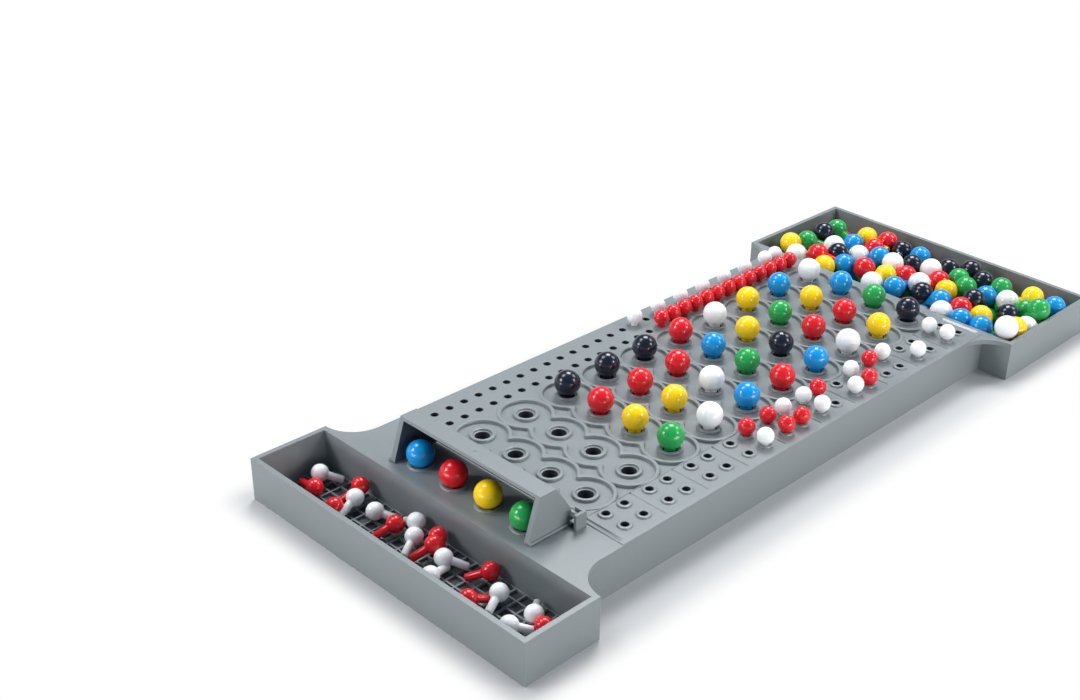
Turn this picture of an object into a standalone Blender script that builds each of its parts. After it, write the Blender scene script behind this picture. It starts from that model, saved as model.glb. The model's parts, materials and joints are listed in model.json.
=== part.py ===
"""A code breaking peg game at real size, in metres, +Z up.

The origin lies under the middle of the board, on the surface that the board rests on.
+Y runs along the board, away from the hidden code, and +X across it, towards the key peg holes.
Every peg stands upright in its hole and lifts out along +Z. The code shield turns on a hinge along X.
"""

import math

import bmesh
import bpy
from mathutils import Matrix, Vector

# Clearances
gap = 0.0003
overrun = 0.002
weld_distance = 0.00001

# Counts of the playing grid
column_count = 4
row_count = 10
score_steps_per_row = 3
score_track_count = 2
score_hole_count = score_steps_per_row * row_count - 1

# Facet counts
code_peg_sides = 9
code_ball_bands = 4
key_peg_sides = 7
key_ball_bands = 3
heap_peg_sides = 6
loose_peg_sides = 8
heap_ball_bands = 3
code_hole_sides = 8
key_hole_sides = 6
pin_sides = 8
pocket_sides = 12
shoulder_steps = 6
corner_steps = 2

# Board shell
wall = 0.002
tray_floor = 0.0015
deck_height = 0.0168
deck_thickness = 0.0022
near_tray_depth = 0.0317
far_tray_depth = 0.0654
shoulder_radius = 0.0135
shoulder_web = 0.002
corner_radius = 0.0012

# Playing grid: from row to row, and from the outer hole centres to the edges
row_pitch = 0.02135
side_margin = 0.02975
first_row_margin = 0.0367
last_row_margin = 0.01305
hidden_row_margin = 0.0084

# Raised playing panel, its wavy pockets and the rings round the code holes
panel_rise = 0.0007
panel_inset = 0.0006
panel_margin = 0.0242
pocket_depth = 0.0009
pocket_radius = 0.0093
ring_diameter = 0.0097

# Key peg holes, in blocks of four beside each row
key_block_margin = 0.0115
key_spacing_x = 0.0088
key_spacing_y = 0.009
groove_width = 0.0005
groove_depth = 0.0003
groove_margin = 0.0024
key_strip_margin = 0.0197

# Score holes, in two tracks along the other edge
score_track_margin = 0.0075
score_track_spacing = 0.0085

# Code pegs and key pegs
code_ball_diameter = 0.010
code_stem_diameter = 0.005
code_stem_length = 0.0085
key_ball_diameter = 0.0065
key_stem_diameter = 0.0026
key_stem_length = 0.0056
key_peg_proud = 0.0005

# Code shield: its side view, measured from the near end of the deck and up from the deck
shield_length = 0.070
shield_wall = 0.0016
shield_side_room = 0.00215
shield_front_foot = 0.0020
shield_front_top = 0.0072
shield_front_height = 0.0164
shield_roof_back = 0.0142
shield_roof_back_height = 0.0164
shield_bend = 0.0205
shield_bend_height = 0.0068
shield_heel = 0.0223
shield_heel_height = 0.0010
hinge_inset = 0.0002
hinge_height = 0.0037
hinge_pin_radius = 0.0012
hinge_pin_length = 0.0040
post_length = 0.0048
post_thickness = 0.0044
post_headroom = 0.0021

# Loose pegs that lie in the trays: the top layer's rise over the pegs on the floor, and how much
# it varies, as shares of a ball
heap_rise_share = 0.69
heap_uneven_share = 0.12
heap_lean = math.radians(12)
floor_lean = math.radians(8)
floor_peg_every = 8

# Colours of the parts
grey = (0.262, 0.295, 0.315, 1.0)
peg_colours = {
    "red": (0.680, 0.012, 0.018, 1.0),
    "yellow": (0.930, 0.620, 0.010, 1.0),
    "blue": (0.007, 0.285, 0.620, 1.0),
    "green": (0.030, 0.370, 0.070, 1.0),
    "black": (0.010, 0.012, 0.024, 1.0),
    "white": (0.870, 0.870, 0.860, 1.0),
    "mixed": (0.500, 0.250, 0.100, 1.0),
}
satin_roughness = 0.42
gloss_roughness = 0.12

# The game in progress: colours from the score tracks' side to the key pegs' side
hidden_code = ("blue", "red", "yellow", "green")
guesses = {
    2: ("black", "red", "yellow", "green"),
    3: ("black", "red", "yellow", "white"),
    4: ("black", "red", "white", "blue"),
    5: ("red", "blue", "green", "red"),
    6: ("white", "yellow", "black", "blue"),
    7: ("yellow", "green", "red", "white"),
    8: ("blue", "yellow", "red", "yellow"),
    9: ("white", "blue", "green", "black"),
}

# Key pegs of each row: inner near, outer near, inner far and outer far hole
answers = {
    3: (None, None, "red", "white"),
    4: ("red", "red", "white", "red"),
    5: ("white", "white", "red", None),
    6: (None, "white", "white", "red"),
    7: ("red", None, "white", None),
    8: (None, "white", None, None),
    9: ("white", "white", None, None),
}

# Filled score holes, counted from the near end, on the outer and on the inner track
score_pegs = (
    (15, 17, 19, 21, 23, 25, 27, 28),
    tuple(range(16, 29)),
)

# Spare code pegs in the far tray: share of the tray's inner half width and of its inner depth,
# listed so that each lies beside the one before it
spare_peg_shares = (
    (-0.90, 0.12), (-0.83, 0.30), (-0.90, 0.50), (-0.82, 0.70), (-0.66, 0.74), (-0.68, 0.54),
    (-0.66, 0.34), (-0.70, 0.14), (-0.54, 0.10), (-0.50, 0.28), (-0.52, 0.48), (-0.50, 0.68),
    (-0.36, 0.80), (-0.34, 0.60), (-0.36, 0.40), (-0.38, 0.20), (-0.22, 0.12), (-0.20, 0.32),
    (-0.20, 0.52), (-0.18, 0.72), (-0.04, 0.64), (-0.06, 0.44), (-0.08, 0.24), (0.06, 0.12),
    (0.08, 0.34), (0.10, 0.54), (0.12, 0.74), (0.26, 0.66), (0.24, 0.46), (0.24, 0.28),
    (0.26, 0.10), (0.42, 0.12), (0.40, 0.34), (0.38, 0.54), (0.40, 0.74), (0.54, 0.70),
    (0.54, 0.50), (0.54, 0.30), (0.60, 0.12), (0.76, 0.12), (0.70, 0.32), (0.70, 0.54),
    (0.70, 0.74), (0.86, 0.74), (0.88, 0.54), (0.86, 0.34), (0.90, 0.16),
)

# Loose key pegs in the near tray: share of its inner half width and of its inner depth, share of
# a ball that the peg is raised by, and the way that its stem points, in degrees from +X
loose_peg_shares = {
    "loose_key_pegs_left": (
        (-0.90, 0.725, 0.0, 313), (-0.81, 0.47, 0.0, 180),
    ),
    "loose_key_pegs_inner": (
        (-0.63, 0.845, 0.3, 310), (-0.575, 0.685, 0.0, 350), (-0.59, 0.395, 0.0, 83),
        (-0.42, 0.69, 0.0, 180),
    ),
    "loose_key_pegs_middle": (
        (-0.262, 0.68, 0.0, 2), (-0.17, 0.845, 0.3, 312), (-0.112, 0.69, 0.0, 30),
        (0.0, 0.845, 0.3, 304), (0.05, 0.665, 0.2, 359), (0.13, 0.66, 0.0, 45),
        (0.185, 0.39, 0.0, 115),
    ),
    "loose_key_pegs_right": (
        (0.407, 0.845, 0.3, 332), (0.533, 0.68, 0.0, 357), (0.467, 0.41, 0.0, 59),
        (0.733, 0.69, 0.0, 186), (0.73, 0.37, 0.0, 89), (0.85, 0.635, 0.0, 169),
    ),
}

# The columns share the room under the shield, and its pins lie at the foot of its back
hidden_code_width = shield_length - 2 * (shield_wall + shield_side_room)
column_pitch = (hidden_code_width - code_ball_diameter) / (column_count - 1)
back_slant = (shield_heel - shield_bend) / (shield_bend_height - shield_heel_height)
hinge_setback = shield_bend + back_slant * (shield_bend_height - hinge_height) - hinge_inset

# Sizes and places that follow from the values above
body_width = (column_count - 1) * column_pitch + 2 * side_margin
body_length = first_row_margin + (row_count - 1) * row_pitch + last_row_margin
tray_width = body_width + 2 * shoulder_radius
board_length = near_tray_depth + body_length + far_tray_depth
near_edge = -board_length / 2
body_near = near_edge + near_tray_depth
body_far = body_near + body_length
far_edge = body_far + far_tray_depth
panel_top = deck_height + panel_rise
first_row_y = body_near + first_row_margin
hidden_row_y = body_near + hidden_row_margin
code_hole_radius = code_stem_diameter / 2 + gap
key_hole_radius = key_stem_diameter / 2 + gap
hinge_y = body_near + hinge_setback
hinge_z = deck_height + hinge_height
score_pitch = row_pitch / score_steps_per_row
score_middle_y = first_row_y + (row_count - 1) * row_pitch / 2
score_first_y = score_middle_y - (score_hole_count - 1) * score_pitch / 2

for old in list(bpy.data.objects):
    bpy.data.objects.remove(old, do_unlink=True)

parts = bpy.data.collections.new("peg_game")
cutters = bpy.data.collections.new("cutters")
bpy.context.scene.collection.children.link(parts)
bpy.context.scene.collection.children.link(cutters)


def plastic(name, colour, roughness):
    material = bpy.data.materials.new(name)
    material.use_nodes = True
    shader = material.node_tree.nodes["Principled BSDF"]
    shader.inputs["Base Color"].default_value = colour
    shader.inputs["Roughness"].default_value = roughness
    shader.inputs["Metallic"].default_value = 0
    return material


board_plastic = plastic("board_plastic", grey, satin_roughness)
peg_plastics = {
    name: plastic("peg_" + name, colour, gloss_roughness) for name, colour in peg_colours.items()
}


def add_object(name, mesh, collection=parts):
    made = bpy.data.objects.new(name, mesh)
    collection.objects.link(made)
    if collection is cutters:
        made.hide_render = True
        made.display_type = "WIRE"
    return made


def mesh_from(name, build):
    """A mesh whose bmesh is filled by build."""
    mesh = bpy.data.meshes.new(name)
    shape = bmesh.new()
    build(shape)
    shape.to_mesh(mesh)
    shape.free()
    return mesh


def add_box(shape, low, high):
    size = Vector(high) - Vector(low)
    centre = (Vector(high) + Vector(low)) / 2
    bmesh.ops.create_cube(shape, size=1, matrix=Matrix.Translation(centre) @ Matrix.Diagonal(size.to_4d()))


def add_rod(shape, x, y, bottom, top, radius, sides):
    """An upright prism whose flats lie at the radius."""
    reach = radius / math.cos(math.pi / sides)
    bmesh.ops.create_cone(
        shape,
        cap_ends=True,
        segments=sides,
        radius1=reach,
        radius2=reach,
        depth=top - bottom,
        matrix=Matrix.Translation((x, y, (bottom + top) / 2)),
    )


def outline_mesh(name, outline, thickness, matrix):
    """A flat outline, filled and extruded evenly to both sides, as a mesh in the given place."""
    curve = bpy.data.curves.new(name, "CURVE")
    curve.dimensions = "2D"
    curve.fill_mode = "BOTH"
    curve.extrude = thickness / 2
    spline = curve.splines.new("POLY")
    spline.points.add(len(outline) - 1)
    for point, (x, y) in zip(spline.points, outline):
        point.co = Vector((x, y)).to_4d()
    spline.use_cyclic_u = True
    drawn = bpy.data.objects.new(name, curve)
    cutters.objects.link(drawn)
    bpy.context.view_layer.update()
    evaluated = drawn.evaluated_get(bpy.context.evaluated_depsgraph_get())
    mesh = bpy.data.meshes.new_from_object(evaluated)
    bpy.data.objects.remove(drawn, do_unlink=True)
    shape = bmesh.new()
    shape.from_mesh(mesh)
    bmesh.ops.remove_doubles(shape, verts=shape.verts, dist=weld_distance)
    bmesh.ops.recalc_face_normals(shape, faces=shape.faces)
    shape.to_mesh(mesh)
    shape.free()
    mesh.transform(matrix)
    return mesh


def level(bottom, top):
    return Matrix.Translation((0, 0, (bottom + top) / 2))


def apply_boolean(target, tool, operation, solver="EXACT"):
    """The target cut by the tool or joined to it, with the tool used up."""
    step = target.modifiers.new("shape", "BOOLEAN")
    step.solver = solver
    step.operation = operation
    step.object = tool
    bpy.context.view_layer.update()
    evaluated = target.evaluated_get(bpy.context.evaluated_depsgraph_get())
    shaped = bpy.data.meshes.new_from_object(evaluated)
    target.modifiers.remove(step)
    target.data = shaped
    bpy.data.objects.remove(tool, do_unlink=True)


def cut(target, mesh):
    apply_boolean(target, add_object("cutter", mesh, cutters), "DIFFERENCE")


def join(target, mesh, solver="EXACT"):
    apply_boolean(target, add_object("joined", mesh, cutters), "UNION", solver)


def arc(centre, radius, start, end, steps):
    """Points from the start angle to the end angle, in degrees, both included."""
    angles = [math.radians(start + (end - start) * step / steps) for step in range(steps + 1)]
    return [(centre[0] + radius * math.cos(a), centre[1] + radius * math.sin(a)) for a in angles]


def column_x(column):
    return (column - (column_count - 1) / 2) * column_pitch


def row_y(row):
    return first_row_y + row * row_pitch


def key_hole_places(row):
    """Inner near, outer near, inner far and outer far hole of a row's block."""
    middle = body_width / 2 - key_block_margin
    return [
        (middle + across * key_spacing_x / 2, row_y(row) + along * key_spacing_y / 2)
        for along in (-1, 1)
        for across in (-1, 1)
    ]


def score_hole_place(track, step):
    x = -body_width / 2 + score_track_margin + track * score_track_spacing
    return x, score_first_y + step * score_pitch


def board_outline():
    """The top edge, from the near tray's corner by +X round to -X, with the concave shoulders."""
    half_tray = tray_width / 2
    side = []
    side += arc((half_tray - corner_radius, near_edge + corner_radius), corner_radius, -90, 0, corner_steps)
    side += arc((half_tray, body_near + shoulder_radius), shoulder_radius, 270, 180, shoulder_steps)
    side += arc((half_tray, body_far - shoulder_radius), shoulder_radius, 180, 90, shoulder_steps)
    side += arc((half_tray - corner_radius, far_edge - corner_radius), corner_radius, 0, 90, corner_steps)
    return side + [(-x, y) for x, y in reversed(side)]


def join_meshes(name, meshes):
    """Meshes that don't meet, gathered in one."""

    def build(shape):
        for mesh in meshes:
            shape.from_mesh(mesh)

    return mesh_from(name, build)


def peg_profile(ball_diameter, stem_diameter, stem_length, bands):
    """Half outline of a peg with its ball's centre at the origin, from the crown down to the stem's tip."""
    radius = ball_diameter / 2
    neck = math.pi - math.asin(stem_diameter / ball_diameter)
    angles = [neck * band / bands for band in range(bands + 1)]
    ball = [(radius * math.sin(angle), radius * math.cos(angle)) for angle in angles]
    tip = -radius - stem_length
    return ball + [(stem_diameter / 2, tip), (0, tip)]


def profile_mesh(name, profile):
    """The profile as a chain of edges in the XZ plane."""

    def build(shape):
        points = [shape.verts.new((x, 0, z)) for x, z in profile]
        for upper, lower in zip(points, points[1:]):
            shape.edges.new((upper, lower))

    return mesh_from(name, build)


def add_turning(target, sides):
    turning = target.modifiers.new("turned", "SCREW")
    turning.angle = math.tau
    turning.axis = "Z"
    turning.steps = sides
    turning.render_steps = sides
    turning.use_merge_vertices = True
    turning.merge_threshold = weld_distance
    return turning


def turned_mesh(name, profile, sides):
    """A turned profile as a plain mesh."""
    turned = add_object(name, profile_mesh(name, profile), cutters)
    add_turning(turned, sides)
    bpy.context.view_layer.update()
    evaluated = turned.evaluated_get(bpy.context.evaluated_depsgraph_get())
    mesh = bpy.data.meshes.new_from_object(evaluated)
    bpy.data.objects.remove(turned, do_unlink=True)
    return mesh


def make_board_shell():
    """The moulding's outer form, open underneath, with a tray at each end."""
    shell = add_object(
        "game_board", outline_mesh("board_outline", board_outline(), deck_height, level(0, deck_height))
    )
    half_body = body_width / 2
    half_tray = tray_width / 2
    web_bottom = deck_height - shoulder_web

    def under_webs(shape):
        for side in (-1, 1):
            inner, outer = sorted((side * half_body, side * (half_tray + overrun)))
            add_box(shape, (inner, body_near, -overrun), (outer, body_near + shoulder_radius, web_bottom))
            add_box(shape, (inner, body_far - shoulder_radius, -overrun), (outer, body_far, web_bottom))

    def hollows(shape):
        under = deck_height - deck_thickness
        inside = half_body - wall
        add_box(shape, (-inside, body_near + wall, -overrun), (inside, body_far - wall, under))
        for low, high in ((near_edge + wall, body_near - wall), (body_far + wall, far_edge - wall)):
            add_box(
                shape, (-half_tray + wall, low, tray_floor), (half_tray - wall, high, deck_height + overrun)
            )

    cut(shell, mesh_from("under_webs", under_webs))
    cut(shell, mesh_from("hollows", hollows))
    return shell


def add_panel(board):
    """The raised playing panel with a wavy pocket along each row and a ring round each code hole."""
    half_panel = body_width / 2 - panel_inset
    panel_near = body_near + panel_margin
    middle_of_deck = deck_height - deck_thickness / 2
    pocket_floor = panel_top - pocket_depth
    places = [(row, column) for row in range(row_count) for column in range(column_count)]

    def slab(shape):
        panel_far = body_far - panel_inset
        add_box(shape, (-half_panel, panel_near, middle_of_deck), (half_panel, panel_far, panel_top))

    def rings(shape):
        for row, column in places:
            x, y = column_x(column), row_y(row)
            add_rod(shape, x, y, middle_of_deck, panel_top, ring_diameter / 2, code_hole_sides)

    def every_other_pocket(first):
        def pockets(shape):
            for row, column in places:
                if (row + column) % 2 == first:
                    x, y = column_x(column), row_y(row)
                    add_rod(shape, x, y, pocket_floor, panel_top + overrun, pocket_radius, pocket_sides)

        return mesh_from("pockets", pockets)

    join(board, mesh_from("slab", slab))
    cut(board, every_other_pocket(0))
    cut(board, every_other_pocket(1))
    join(board, mesh_from("rings", rings))


def cut_grooves(board):
    """Grooves that part the key peg holes into blocks, and one along their strip."""
    strip_inner = body_width / 2 - key_strip_margin
    strip_outer = body_width / 2 - groove_margin
    bottom = panel_top - groove_depth

    def across_strip(shape):
        for line in range(row_count + 1):
            y = row_y(line) - row_pitch / 2
            add_box(
                shape,
                (strip_inner, y - groove_width / 2, bottom),
                (strip_outer, y + groove_width / 2, panel_top + overrun),
            )

    def along_strip(shape):
        start, end = row_y(0) - row_pitch / 2, row_y(row_count - 1) + row_pitch / 2
        low = (strip_inner - groove_width / 2, start - groove_width, bottom)
        high = (strip_inner + groove_width / 2, end + groove_width, panel_top + overrun)
        add_box(shape, low, high)

    cut(board, mesh_from("across_strip", across_strip))
    cut(board, mesh_from("along_strip", along_strip))


def add_hinge_posts(board):
    """A slotted post at each end of the shield, which its hinge pins drop into."""
    pin_room = hinge_pin_radius + gap
    post_top = hinge_z + post_headroom
    inner = shield_length / 2 + gap
    outer = inner + post_thickness

    def posts(shape):
        for side in (-1, 1):
            low, high = sorted((side * inner, side * outer))
            add_box(
                shape,
                (low, hinge_y - post_length / 2, deck_height - deck_thickness / 2),
                (high, hinge_y + post_length / 2, post_top),
            )

    def slots(shape):
        for side in (-1, 1):
            low, high = sorted((side * (inner - overrun), side * (inner + hinge_pin_length + gap)))
            add_box(
                shape,
                (low, hinge_y - pin_room, hinge_z - pin_room),
                (high, hinge_y + pin_room, post_top + overrun),
            )

    join(board, mesh_from("posts", posts))
    cut(board, mesh_from("slots", slots))


def cut_peg_holes(board):
    """All holes for pegs, apart from those that a joined score peg fills."""
    bottom = deck_height - deck_thickness - overrun
    top = panel_top + overrun

    def holes(shape):
        rows = [row_y(row) for row in range(row_count)] + [hidden_row_y]
        for y in rows:
            for column in range(column_count):
                add_rod(shape, column_x(column), y, bottom, top, code_hole_radius, code_hole_sides)
        for row in range(row_count):
            for x, y in key_hole_places(row):
                add_rod(shape, x, y, bottom, top, key_hole_radius, key_hole_sides)
        for track in range(score_track_count):
            for step in range(score_hole_count):
                if step not in score_pegs[track]:
                    x, y = score_hole_place(track, step)
                    add_rod(shape, x, y, bottom, top, key_hole_radius, key_hole_sides)

    cut(board, mesh_from("holes", holes))


def seat_height(ball_diameter, hole_radius):
    """Height of a ball's centre above the mouth of the hole that it sits on."""
    return math.sqrt((ball_diameter / 2) ** 2 - hole_radius**2) + gap


key_seat_z = panel_top + seat_height(key_ball_diameter, key_hole_radius) + key_peg_proud


def join_score_pegs(board, peg_mesh):
    """The score pegs stand so close that they are part of the board's solid here."""
    for first in (0, 1):
        pegs = []
        for track, steps in enumerate(score_pegs):
            for step in steps:
                if step % 2 == first:
                    peg = peg_mesh.copy()
                    peg.transform(Matrix.Translation((*score_hole_place(track, step), key_seat_z)))
                    pegs.append(peg)
        join(board, join_meshes("score_pegs", pegs))


def offset_chain(points, distance):
    """A chain of points moved sideways to its right, with mitred bends."""
    lines = []
    for (ay, az), (by, bz) in zip(points, points[1:]):
        along = Vector((by - ay, bz - az)).normalized()
        shift = Vector((along.y, -along.x)) * distance
        lines.append((Vector((ay, az)) + shift, along))
    moved = [lines[0][0]]
    for (p, u), (q, v) in zip(lines, lines[1:]):
        turn = u.x * v.y - u.y * v.x
        moved.append(p + u * (((q - p).x * v.y - (q - p).y * v.x) / turn))
    last = Vector(points[-1])
    moved.append(lines[-1][0] + lines[-1][1] * (last - Vector(points[-2])).length)
    return moved


def make_shield():
    """A hood over the hidden code, open to the front and below, that turns back on two pins."""
    foot = (shield_front_foot, gap)
    front_top = (shield_front_top, shield_front_height)
    roof_back = (shield_roof_back, shield_roof_back_height)
    bend = (shield_bend, shield_bend_height)
    heel = (shield_heel, shield_heel_height)
    to_hinge = Vector((hinge_setback, hinge_height))
    across = Matrix(((0, 0, 1, 0), (1, 0, 0, 0), (0, 1, 0, 0), (0, 0, 0, 1)))

    def placed(outline):
        return [(y - to_hinge.x, z - to_hinge.y) for y, z in outline]

    roof = Vector(front_top) - Vector(roof_back)
    slope = Vector(heel) - Vector(bend)
    forward = Vector(front_top) + roof.normalized() * (shield_front_top + overrun)
    down = Vector(heel) + slope.normalized() * (shield_heel_height + overrun)
    inside = offset_chain([forward, roof_back, bend, down], shield_wall)
    inside.append(Vector((forward.x, inside[-1].y)))
    outside = [foot, front_top, roof_back, bend, heel]
    shield = add_object("code_shield", outline_mesh("shield_side", placed(outside), shield_length, across))
    cut(shield, outline_mesh("shield_inside", placed(inside), shield_length - 2 * shield_wall, across))

    def pins(shape):
        for side in (-1, 1):
            inner = shield_length / 2 - shield_wall / 2
            outer = shield_length / 2 + hinge_pin_length
            middle = Matrix.Translation((side * (inner + outer) / 2, 0, 0))
            bmesh.ops.create_cone(
                shape,
                cap_ends=True,
                segments=pin_sides,
                radius1=hinge_pin_radius,
                radius2=hinge_pin_radius,
                depth=outer - inner,
                matrix=middle @ Matrix.Rotation(math.pi / 2, 4, "Y"),
            )

    join(shield, mesh_from("pins", pins))
    shield.location = (0, hinge_y, hinge_z)
    shield.data.materials.append(board_plastic)
    return shield


def place_peg(name, profile, sides, colour, place):
    """A peg with its origin at its ball's centre, on the axis of its hole."""
    peg = add_object(name, profile)
    add_turning(peg, sides)
    peg.location = place
    if not profile.materials:
        profile.materials.append(None)
    peg.material_slots[0].link = "OBJECT"
    peg.material_slots[0].material = peg_plastics[colour]
    return peg


def place_code_pegs(profile):
    seat = seat_height(code_ball_diameter, code_hole_radius)
    for column, colour in enumerate(hidden_code):
        place = (column_x(column), hidden_row_y, deck_height + seat)
        place_peg(f"secret_peg_{column + 1}", profile, code_peg_sides, colour, place)
    for row, colours in guesses.items():
        for column, colour in enumerate(colours):
            place = (column_x(column), row_y(row), panel_top + seat)
            place_peg(f"guess_peg_r{row + 1}_c{column + 1}", profile, code_peg_sides, colour, place)


def place_key_pegs(profile):
    for row, colours in answers.items():
        for number, ((x, y), colour) in enumerate(zip(key_hole_places(row), colours)):
            if colour:
                name = f"key_peg_r{row + 1}_n{number + 1}"
                place_peg(name, profile, key_peg_sides, colour, (x, y, key_seat_z))


def lying(place, heading, lean):
    """A peg's matrix with its stem turned to a heading and raised by lean from straight down."""
    turn = Matrix.Rotation(heading, 4, "Z") @ Matrix.Rotation(-lean, 4, "Y")
    return Matrix.Translation(place) @ turn


def make_heap(name, peg_mesh, matrices):
    """Loose pegs that lie against each other, joined where they touch."""
    heap = None
    for matrix in matrices:
        peg = peg_mesh.copy()
        peg.transform(matrix)
        if heap is None:
            heap = add_object(name, peg)
        else:
            join(heap, peg, "MANIFOLD")
    heap.data.materials.append(peg_plastics["mixed"])
    return heap


def make_spare_heap(peg_mesh):
    """The tray of spare code pegs: an uneven top layer on a few pegs that lie on the tray's floor."""
    half_width = tray_width / 2 - wall
    depth = far_tray_depth - 2 * wall
    on_floor = tray_floor + gap + code_ball_diameter / 2
    middle = Vector((0, body_far + far_tray_depth / 2))
    places = []
    for number, (across, along) in enumerate(spare_peg_shares):
        rise_share = heap_rise_share + heap_uneven_share * math.sin(number * number)
        height = on_floor + rise_share * code_ball_diameter
        places.append(Vector((across * half_width, body_far + wall + along * depth, height)))
    matrices = []
    for number, (here, there) in enumerate(zip(places, places[1:] + places[-2:-1])):
        toward = there - here
        heading = math.atan2(toward.y, toward.x)
        matrices.append(lying(here, heading, math.pi / 2 - heap_lean))
        if number % floor_peg_every == 0:
            below = (here + there) / 2
            below.z = on_floor
            inward = math.atan2(middle.y - below.y, middle.x - below.x)
            matrices.append(lying(below, inward, math.pi / 2 - floor_lean))
    return make_heap("spare_code_pegs", peg_mesh, matrices)


def make_loose_key_pegs(peg_mesh):
    """The key pegs in the near tray, in groups that lie against each other."""
    half_width = tray_width / 2 - wall
    depth = near_tray_depth - 2 * wall
    reach = key_ball_diameter / 2 + key_stem_length
    for name, shares in loose_peg_shares.items():
        matrices = []
        for across, along, raised, heading in shares:
            height = tray_floor + gap + key_ball_diameter / 2 + raised * key_ball_diameter
            drop = height - tray_floor - gap - key_stem_diameter / 2
            place = (across * half_width, near_edge + wall + along * depth, height)
            matrices.append(lying(place, math.radians(heading), math.acos(min(drop / reach, 1))))
        make_heap(name, peg_mesh, matrices)


code_profile = peg_profile(code_ball_diameter, code_stem_diameter, code_stem_length, code_ball_bands)
key_profile = peg_profile(key_ball_diameter, key_stem_diameter, key_stem_length, key_ball_bands)
spare_profile = peg_profile(code_ball_diameter, code_stem_diameter, code_stem_length, heap_ball_bands)
loose_profile = peg_profile(key_ball_diameter, key_stem_diameter, key_stem_length, heap_ball_bands)

game_board = make_board_shell()
add_panel(game_board)
cut_grooves(game_board)
add_hinge_posts(game_board)
cut_peg_holes(game_board)
join_score_pegs(game_board, turned_mesh("score_peg", key_profile, heap_peg_sides))
game_board.data.materials.append(board_plastic)
make_shield()
place_code_pegs(profile_mesh("code_peg", code_profile))
place_key_pegs(profile_mesh("key_peg", key_profile))
make_spare_heap(turned_mesh("spare_peg", spare_profile, heap_peg_sides))
make_loose_key_pegs(turned_mesh("loose_peg", loose_profile, loose_peg_sides))
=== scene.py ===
"""Looks of the code breaking peg game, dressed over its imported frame, in metres with +Z up.

The frame gives the places of the pegs, the trays and the shield. The board, its shield and the
pegs are modelled again here with their rounded edges, raised rims and glossy ball heads.
"""

import json
from math import acos, asin, atan2, cos, pi, radians, sin, sqrt, tan, tau

import bmesh
import bpy
from mathutils import Euler, Matrix, Vector


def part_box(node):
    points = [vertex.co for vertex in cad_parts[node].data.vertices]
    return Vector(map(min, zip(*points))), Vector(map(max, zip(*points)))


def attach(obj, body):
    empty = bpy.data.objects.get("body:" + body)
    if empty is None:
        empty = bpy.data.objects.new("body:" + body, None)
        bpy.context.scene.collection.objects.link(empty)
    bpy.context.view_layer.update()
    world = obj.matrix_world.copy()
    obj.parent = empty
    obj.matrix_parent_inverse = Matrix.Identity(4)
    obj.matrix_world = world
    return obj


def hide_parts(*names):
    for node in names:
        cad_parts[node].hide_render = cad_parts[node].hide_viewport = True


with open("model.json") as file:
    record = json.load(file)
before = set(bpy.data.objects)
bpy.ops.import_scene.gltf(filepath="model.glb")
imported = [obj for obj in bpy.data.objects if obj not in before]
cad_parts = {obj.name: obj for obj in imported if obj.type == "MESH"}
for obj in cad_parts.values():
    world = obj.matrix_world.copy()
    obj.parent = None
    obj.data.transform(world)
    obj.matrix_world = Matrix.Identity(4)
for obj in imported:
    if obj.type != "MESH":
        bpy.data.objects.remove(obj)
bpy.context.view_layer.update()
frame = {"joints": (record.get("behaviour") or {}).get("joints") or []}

# Camera, at the photograph's viewing angle
camera_place = Vector((0.3210, -0.4036, 0.2981))
camera_target = Vector((-0.0169, -0.0214, 0.0175))
camera_roll = radians(2.69)
camera_lens = 49.64
camera_sensor = 36
camera_shift = (-0.1036, 0.0180)
camera_clip = 0.01

# Softboxes: direction that the light comes from, distance, width, height and power
studio_centre = Vector((0, 0, 0.01))
softboxes = (
    ("softbox_right", (0.74, 0.37, 0.55), 0.95, 0.20, 0.24, 2.4),
    ("softbox_left", (-0.46, -0.74, 0.48), 0.95, 0.22, 0.24, 3.0),
    ("softbox_top", (-0.34, 0.42, 0.84), 1.40, 0.50, 0.50, 15.0),
    ("softbox_front", (-0.50, -0.22, 0.84), 1.20, 0.40, 0.40, 5.0),
    ("softbox_back", (0.20, 0.68, 0.70), 1.20, 0.40, 0.40, 4.0),
    ("side_light_right", (0.97, 0.02, 0.10), 1.10, 0.70, 0.16, 5.4),
    ("side_light_near", (-0.15, -0.97, 0.10), 1.10, 0.70, 0.16, 3.2),
)
sky_level = 0.24
sky_tint = (0.50, 0.74, 1.0)
horizon_level = 0.74
horizon_band = (0.16, 0.34)
floor_half_size = 6.0
floor_fade = (0.0, 0.014)
# A darker floor grey that shows only near the board: a painted shade band round its foot, on top of
# its real shadow
floor_shade_band_grey = 0.50
floor_roughness = 0.9
floor_shine = 0.1
pure_white = (1, 1, 1, 1)

# Board: the same real sizes as the solid that it replaces
wall = 0.002
tray_floor = 0.0005
deck_top = 0.0168
deck_wall = 0.0022
near_tray_depth = 0.0317
far_tray_depth = 0.0654
shoulder = 0.0135
shoulder_web = 0.002
shoulder_steps = 14
edge_round = 0.0006
overrun = 0.002
hidden_hole_steps = 32

# Angles in degrees: corners that get rounded, and those that stay sharp in shading
rounded_corner = 35
sharp_corner = 40
sharp_beside_rounding = 32
sharp_on_turned = 50
sharp_on_panel = 35
tiny = 0.000001
merge_distance = 0.00001

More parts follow.
